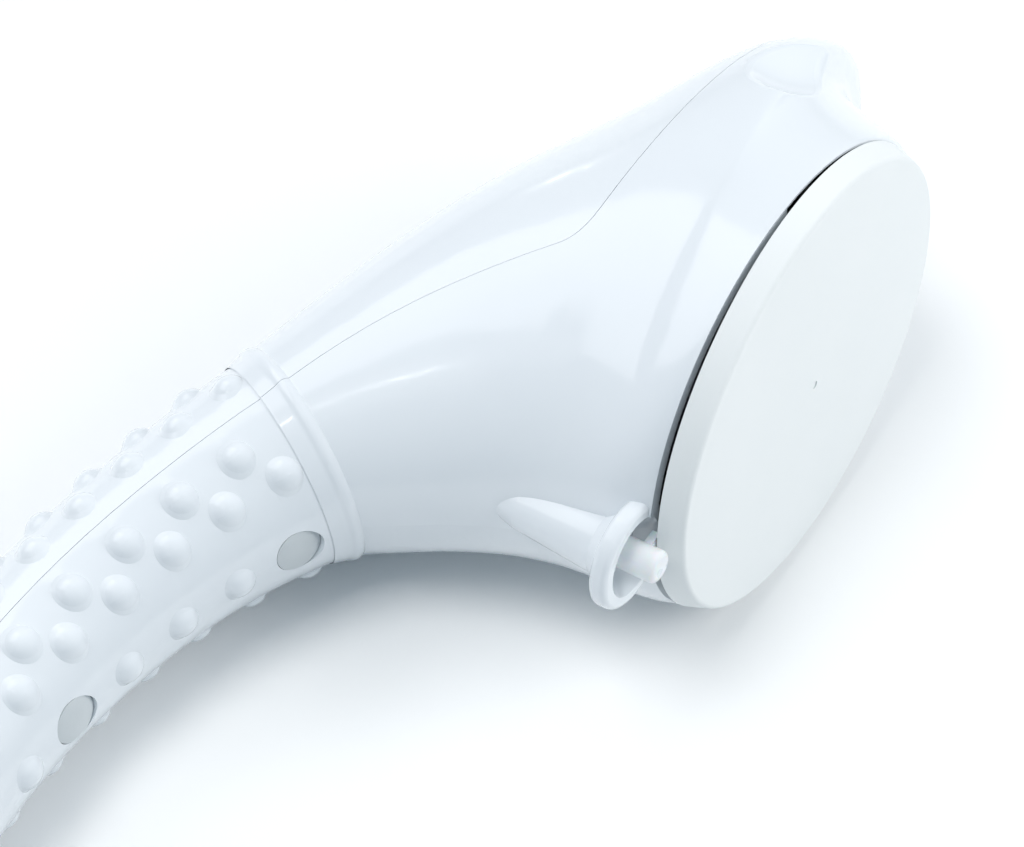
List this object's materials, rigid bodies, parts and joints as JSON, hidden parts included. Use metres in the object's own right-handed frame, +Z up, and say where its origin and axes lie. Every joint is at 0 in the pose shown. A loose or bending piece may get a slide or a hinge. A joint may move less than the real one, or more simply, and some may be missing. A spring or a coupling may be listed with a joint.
{
  "type": "garment steamer hand piece",
  "caption": "Hose-fed garment steamer hand piece: studded curved handle, collar, swelling head with a leaf-shaped back cover and a sprung oval press plate.",
  "frame": {"origin": "centre of the overall box, on the table under the hand piece", "axes": "+Z up from the table, +Y from the handle's end to the beak of the head, +X out of the press plate; the hand piece lies on its side"},
  "size_m": [0.1142, 0.302, 0.0864],
  "materials": {
    "shell": "glossy moulded white",
    "plate": "satin white",
    "plunger": "milky natural plastic",
    "covers": "warm grey, matte",
    "steel": "plain",
    "aluminium": "cast",
    "silicone": "translucent grey silicone",
    "pad": "felted insulation",
    "inner_plastic": "dark glass-filled"
  },
  "bodies": {
    "casing": {"front_shell": "shell", "back_shell": "shell", "screw_covers": "covers", "case_screws": "steel", "hinge_pin": "steel", "plunger_spring": "steel", "guide_bush": "plunger", "steam_chamber": "aluminium", "chamber_cover": "aluminium", "chamber_seal": "silicone", "chamber_screws": "steel", "carrier_plate": "inner_plastic", "carrier_screws": "steel", "heat_shield": "aluminium", "steam_tube": "silicone", "tube_clips": "steel", "hose_inlet": "inner_plastic", "inlet_seal": "silicone", "end_cap": "shell", "inlet_screws": "steel"},
    "plate": {"press_plate": "plate", "plate_pad": "pad", "pad_washers": "steel"},
    "plunger": {"plunger": "plunger"}
  },
  "joints": [
    {"name": "plate tilt", "type": "hinge", "parent": "casing", "child": "plate", "pos_m": [0.03734, 0.11624, 0.04429], "axis": [0.2419, 0.0406, -0.9694], "range_deg": [0, 0.75], "stiffness_Nm_per_rad": 2.37, "springref_deg": -2.58},
    {"name": "plunger slide", "type": "slide", "parent": "casing", "child": "plunger", "axis": [-0.9703, 0.0101, -0.2417], "range_m": [0, 0.00118]}
  ],
  "couplings": [
    {"joint": "plunger slide", "follows": "plate tilt", "m_per_rad": 0.0888}
  ]
}
